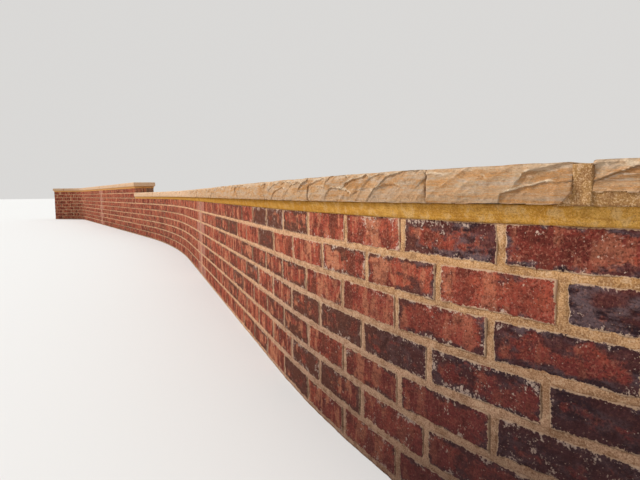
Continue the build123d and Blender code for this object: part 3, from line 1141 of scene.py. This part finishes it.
def bed_material():
    """The ochre bed under the coping, smeared along by the trowel."""
    nodes = Nodes("coping_bed_mortar")
    x = nodes.axes[0]
    broad = nodes.noise(nodes.place, 9.0, 3.0)
    drawn = nodes.noise(nodes.place, 300.0, 4.0, 0.65, stretch=(0.10, 0.10, 1.0))
    grain = nodes.noise(nodes.place, 480.0, 4.0, 0.8)
    patch = nodes.noise(nodes.place, 60.0, 4.0, 0.6)
    # The last layer pales the bed beyond x -2.5, where the far part is lit brighter: painted light
    colour = nodes.layers(
        nodes.mix(nodes.ramp(broad, 0.35, 0.65), (0.57, 0.270, 0.040), (0.66, 0.355, 0.080)),
        (drawn, 0.50, 0.64, 0.45, (0.31, 0.130, 0.022)),
        (patch, 0.50, 0.62, 0.55, (0.70, 0.45, 0.20)),
        (patch, 0.47, 0.38, 0.50, (0.38, 0.17, 0.030)),
        (grain, 0.51, 0.61, 0.6, (0.22, 0.100, 0.028)),
        (grain, 0.47, 0.38, 0.45, (0.82, 0.55, 0.24)),
        (x, 1.9, 0.8, 0.50, (0.36, 0.155, 0.018)),
        (x, -2.5, -6.0, 0.60, (0.80, 0.405, 0.165)),
    )
    return nodes.finish(colour, 0.88, nodes.plus(drawn, nodes.times(grain, -0.9)), 0.8, 0.0016)


def stone_material():
    """Sandstone in bands of buff, peach, lilac grey and iron brown, with painted highlights on the
    struck crests and painted shade in the hollows under them.
    """
    nodes = Nodes("sandstone")
    stone, scar, height_share, light_and_shade, spot = nodes.marks(0.12)
    band = nodes.noise(spot, 16.0, 4.0, 0.6, stretch=(0.5, 0.5, 2.4))
    stain = nodes.noise(spot, 24.0, 4.0, 0.65, stretch=(0.6, 0.6, 1.5))
    grain = nodes.noise(spot, 420.0, 4.0, 0.75)
    patch = nodes.noise(spot, 110.0, 4.0, 0.65)
    drawn = nodes.noise(spot, 240.0, 4.0, 0.7, stretch=(0.22, 0.22, 1.0))
    fleck = nodes.noise(spot, 190.0, 3.0, 0.6, stretch=(0.6, 0.6, 1.2))
    strata = nodes.noise(spot, 95.0, 4.0, 0.65, stretch=(0.12, 0.12, 1.0))
    pale = (0.84, 0.66, 0.46)
    colour = nodes.layers(
        nodes.mix(nodes.ramp(band, 0.40, 0.58), (0.49, 0.335, 0.200), (0.59, 0.355, 0.190)),
        (stone, 0.0, 1.0, 0.35, (0.52, 0.31, 0.16)),
        (scar, 0.58, 0.74, 0.75, (0.40, 0.175, 0.050)),
        (scar, 0.40, 0.22, 0.65, (0.45, 0.315, 0.215)),
        (stain, 0.51, 0.57, 0.72, (0.48, 0.215, 0.062)),
        (stain, 0.46, 0.40, 0.75, (0.50, 0.385, 0.290)),
        (drawn, 0.54, 0.68, 0.35, (0.30, 0.165, 0.085)),
        (drawn, 0.45, 0.34, 0.35, (0.72, 0.53, 0.37)),
        (fleck, 0.53, 0.61, 0.40, (0.55, 0.270, 0.130)),
        (fleck, 0.47, 0.39, 0.40, (0.38, 0.30, 0.21)),
    )
    layered = nodes.ramp(strata, 0.42, 0.56, 0.0, 0.55)
    layered = nodes.times(nodes.ramp(height_share, 0.58, 0.30), layered)
    colour = nodes.mix(layered, colour, (0.49, 0.320, 0.195))
    colour = nodes.layers(colour, (strata, 0.46, 0.35, 0.60, (0.48, 0.235, 0.090)))
    # Painted shade in the hollows under the crests, and painted highlights on the crests
    hollow = nodes.times(nodes.ramp(light_and_shade, 0.42, 0.15), nodes.ramp(patch, 0.35, 0.60, 0.42, 0.08))
    colour = nodes.mix(hollow, colour, (0.30, 0.140, 0.050))
    painted_crest_highlight = nodes.times(nodes.ramp(light_and_shade, 0.58, 0.85), nodes.ramp(patch, 0.40, 0.60, 0.35, 0.95))
    colour = nodes.mix(painted_crest_highlight, colour, pale)
    weathered = nodes.ramp(height_share, 0.74, 0.92, 0.0, 0.68)
    weathered = nodes.times(weathered, nodes.ramp(stain, 0.40, 0.60, 1.0, 0.30))
    # The last layer pales the stones towards the far end, from x 0.5 to -2.5: painted light
    colour = nodes.layers(
        nodes.mix(weathered, colour, (0.64, 0.47, 0.320)),
        (patch, 0.54, 0.68, 0.45, (0.31, 0.17, 0.09)),
        (grain, 0.53, 0.66, 0.45, (0.22, 0.13, 0.075)),
        (grain, 0.46, 0.34, 0.35, pale),
        (nodes.axes[0], 0.5, -2.5, 0.45, (0.80, 0.560, 0.385)),
    )
    bumps = nodes.plus(nodes.times(grain, -0.5), nodes.times(patch, 1.3))
    return nodes.finish(colour, 0.82, bumps, 1.0, 0.0028)


def filler_material():
    """Sanded sealant over the soft filler of a control joint."""
    nodes = Nodes("joint_filler")
    patch = nodes.noise(nodes.place, 50.0, 3.0)
    grain = nodes.noise(nodes.place, 600.0, 3.0, 0.7)
    colour = nodes.mix(nodes.ramp(patch, 0.35, 0.65), (0.50, 0.33, 0.20), (0.60, 0.42, 0.27))
    colour = nodes.layers(colour, (grain, 0.55, 0.75, 0.3, (0.30, 0.18, 0.10)))
    return nodes.finish(colour, 0.85, grain, 0.5, 0.0008)


MATERIALS = {
    "brick": brick_material(),
    "mortar": mortar_material("jointing_mortar", (0.52, 0.265, 0.100), (0.63, 0.345, 0.150)),
    "coping_mortar": mortar_material(
        "coping_joint_mortar", (0.35, 0.18, 0.06), (0.45, 0.245, 0.092)
    ),
    "bed": bed_material(),
    "stone": stone_material(),
    "filler": filler_material(),
}


# The wall

# Places between which the lawn face's bricks are finest, and places around them of the other two
FINEST_BRICKS = (2.80, 4.05)
FINER_BRICKS = (2.4, 6.3)
MIDDLING_END = 5.0
TOP_FINE_COURSES = 3

COARSEST_BED = 0.003
JOINT_LAP = 0.001
JOINT_DROP = 0.003
MORTAR_SPACING = 0.004
PATCH_SETBACK = 0.0062
PATCH_LAP = 0.004
PATCH_TOP = 0.0175
PATCH_DEPTH = 0.03
PATCH_SPACING = 0.003


def brick_level(leaf, place, course):
    """How finely a brick is modelled."""
    if leaf == 0 and FINEST_BRICKS[0] <= place <= FINEST_BRICKS[1]:
        return "fine_upper" if course > TOP_FINE_COURSES else "fine_lower"
    if leaf == 0 and FINER_BRICKS[0] < place < FINER_BRICKS[1]:
        return "middling" if place < MIDDLING_END else "small"
    return "far"


def build_brickwork():
    """Every brick, in one mesh for each stretch, side and fineness, and the mortar between them."""
    low, raised = range(LOW_COURSES), range(LOW_COURSES, LOW_COURSES + STEP_COURSES)
    groups = {}
    for kind, bays, courses in (("brickwork", BAYS, low), ("courses", RAISED_BAYS, raised)):
        for start, end, free_start, free_end in bays:
            for leaf, side in LEAVES:
                for one in leaf_bricks(start, end, courses, leaf, free_start, free_end):
                    level = brick_level(leaf, one["place"], one["course"])
                    groups.setdefault((stretch_of(one["place"]), kind, side, level), []).append(one)
    for number, (stretch, kind, place, facing, courses) in enumerate((
        ("near_return", "brickwork", 0.0, -1, low),
        ("far_bend", "brickwork", WALL_LENGTH, 1, low),
        ("middle_raised", "courses", STEP_PLACE, -1, raised),
        ("far_bend", "courses", WALL_LENGTH, 1, raised),
    )):
        groups[(stretch, kind, "end", "end")] = end_bricks(place, facing, courses, 5 + number)
    for (stretch, kind, side, level), bricks in groups.items():
        piece = make_bricks(f"{stretch}_{kind}_{side}_{level}_bricks", bricks, *FINENESS[level])
        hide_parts(f"{stretch}_{kind}")
    for name, (start, end), spacing in STRETCHES:
        parts = [("mortar", "brickwork", 0.0, LOW_BRICK_TOP)]
        if name in RAISED:
            parts.append(("courses_mortar", "courses", LOW_BRICK_TOP, HIGH_BRICK_TOP))
        for ending, node, foot, top in parts:
            piece = make_mortar(f"{name}_{ending}", start, end, foot, top, spacing)
            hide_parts(f"{name}_{node}")


def build_stones():
    """The coping stones."""
    uneven = random.Random(STONE_SEED)
    number = 0
    for start, end, brick_top in RUNS:
        low = brick_top + COPING_BED
        for first, last in stone_spans(start, end):
            high = low + STONE_HEIGHT + TOP_VARIATION * uneven.random()
            belly = STONE_OVERHANG - FACE_VARIATION * uneven.random()
            node = stretch_of((first + last) / 2)
            near_end = first < 0 or first == start < STEP_PLACE < end
            free = -1 if near_end else int(last > WALL_LENGTH)
            undercut, chipped = number == WIDE_JOINT_AFTER - 1, number == WIDE_JOINT_AFTER
            name = f"{node}_coping_stone_{number:02d}"
            piece = make_stone(name, first, last, low, high, belly, number, free, undercut, chipped)
            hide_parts(f"{node}_coping")
            number += 1


def build_beds():
    """The mortar bed under the stones of every stretch."""
    for name, (start, end), spacing in STRETCHES:
        top = HIGH_BRICK_TOP if name in RAISED else LOW_BRICK_TOP
        piece = make_bed(f"{name}_coping_bed", start, end, top, max(COARSEST_BED, spacing))
        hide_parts(f"{name}_bed")


def rough_mortar(name, places, corners, spacing, depth, size, seed, octaves):
    """A swept piece of the coping's mortar with rough faces."""
    profile = profile_between(corners, spacing)
    ring, place_grid = rings_of(profile, places)
    sample = np.stack([place_grid, ring[..., 0], ring[..., 1]], axis=-1)
    ring[..., 0] += sides_of(profile) * depth * rough(sample, size, seed, octaves)
    return swept(name, places, ring, "coping_mortar")


def build_patch():
    """Mortar packed flush under the chipped stones on both sides of the wide joint."""
    spans = stone_spans(*RUNS[0][:2])
    start = spans[WIDE_JOINT_AFTER - 1][1] - PATCH_LENGTH - PATCH_LAP
    end = spans[WIDE_JOINT_AFTER][0] + CHIP + PATCH_LAP
    low = LOW_BRICK_TOP + COPING_BED
    face = STONE_OVERHANG - PATCH_SETBACK
    foot, head, inside = low - JOINT_LAP, low + PATCH_TOP, face - PATCH_DEPTH
    corners = [(face, foot, 1), (face, head, 4), (inside, head, 4), (inside, foot, 4)]
    places = stations(start, end, PATCH_SPACING)
    name = "near_straight_coping_patch"
    piece = rough_mortar(name, places, corners, 0.0025, 0.0009, 0.010, 67, 3)
    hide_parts(f"{stretch_of((start + end) / 2)}_bed")


def build_coping_joints():
    """The upright mortar joints between the stones, and the one between low coping and step."""
    number = 0
    for start, end, brick_top in RUNS:
        spans = stone_spans(start, end)
        gaps = [(one[1], other[0]) for one, other in zip(spans, spans[1:])]
        if NEAR_STRAIGHT[1] < end < STEP_PLACE:
            gaps.append((end, STEP_PLACE))
        low = brick_top + COPING_BED - JOINT_LAP
        high = brick_top + COPING_BED + STONE_HEIGHT - JOINT_DROP
        for first, last in gaps:
            wide = last - first > (STONE_JOINT + WIDE_JOINT) / 2
            face = STONE_OVERHANG - (WIDE_JOINT_SETBACK if wide else JOINT_SETBACK)
            back = -THICKNESS - face
            corners = [(face, low, 1), (face, high, 3), (back, high, 1), (back, low, 3)]
            places = np.linspace(first - JOINT_LAP, last + JOINT_LAP, 11 if wide else 3)
            node = stretch_of((first + last) / 2)
            name = f"{node}_coping_joint_{number:02d}"
            piece = rough_mortar(name, places, corners, MORTAR_SPACING, 0.0012, 0.012, 61, 2)
            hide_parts(f"{node}_bed")
            number += 1


def dress_control_joints():
    """The two control joints keep their CAD form and get the filler's finish."""
    for name in ("near_control_joint", "far_control_joint"):
        for slot in bpy.data.objects[name].material_slots:
            slot.material = MATERIALS["filler"]


# Floor, light and camera

CAMERA_PLACE = Vector((2.4466, -0.4944, 0.5162))
CAMERA_AHEAD = Vector((-0.94665, 0.32227, 0.0))
CAMERA_DOWN = math.radians(4.99)
CAMERA_ROLL = math.radians(-0.61)
CAMERA_CLIPS = (0.02, 300)
FOCAL_PIXELS = 534.0
FRAME_WIDTH_PIXELS = 640.0
SENSOR = 36.0
FLOOR_REACH = 120.0
FLOOR_COLOUR = (0.74, 0.74, 0.73, 1)
SKY_COLOUR = (1.0, 0.985, 0.965, 1)
SKY_STRENGTH = 0.70
SUN_STRENGTH = 3.0
SUN_ANGLE = math.radians(18)
SUN_TOWARDS = Vector((0.58, 0.62, -0.53))


def make_floor():
    """A plain pale floor that fades into the same pale background."""
    mesh = bpy.data.meshes.new("floor")
    reach = FLOOR_REACH
    corners = [(-reach, -reach, 0), (reach, -reach, 0), (reach, reach, 0), (-reach, reach, 0)]
    mesh.from_pydata(corners, [], [(0, 1, 2, 3)])
    floor = add_to_scene("floor", mesh)
    material = bpy.data.materials.new("floor")
    material.use_nodes = True
    shader = material.node_tree.nodes["Principled BSDF"]
    shader.inputs["Base Color"].default_value = FLOOR_COLOUR
    shader.inputs["Roughness"].default_value = 0.9
    mesh.materials.append(material)


def make_light():
    """A pale sky all round and one broad soft sun from the lawn side."""
    world = bpy.data.worlds.new("studio")
    world.use_nodes = True
    background = world.node_tree.nodes["Background"]
    background.inputs["Color"].default_value = SKY_COLOUR
    background.inputs["Strength"].default_value = SKY_STRENGTH
    bpy.context.scene.world = world
    sun = bpy.data.lights.new("soft_sun", "SUN")
    sun.energy = SUN_STRENGTH
    sun.angle = SUN_ANGLE
    add_to_scene("soft_sun", sun).rotation_euler = SUN_TOWARDS.to_track_quat("-Z", "Y").to_euler()


def make_camera():
    """The camera of the photograph, low beside the near bend."""
    camera = bpy.data.cameras.new("camera")
    camera.sensor_width = SENSOR
    camera.lens = FOCAL_PIXELS / FRAME_WIDTH_PIXELS * SENSOR
    camera.clip_start, camera.clip_end = CAMERA_CLIPS
    up = Vector((0, 0, 1))
    right = CAMERA_AHEAD.cross(up).normalized()
    ahead = CAMERA_AHEAD.normalized() * math.cos(CAMERA_DOWN) - up * math.sin(CAMERA_DOWN)
    above = right.cross(ahead)
    rolled_right = right * math.cos(CAMERA_ROLL) + above * math.sin(CAMERA_ROLL)
    rolled_up = above * math.cos(CAMERA_ROLL) - right * math.sin(CAMERA_ROLL)
    turn = Matrix((rolled_right, rolled_up, -ahead)).transposed()
    holder = add_to_scene("camera", camera)
    holder.matrix_world = Matrix.Translation(CAMERA_PLACE) @ turn.to_4x4()
    bpy.context.scene.camera = holder


build_brickwork()
build_stones()
build_beds()
build_patch()
build_coping_joints()
dress_control_joints()
make_floor()
make_light()
make_camera()
bpy.context.scene.view_settings.view_transform = "Standard"
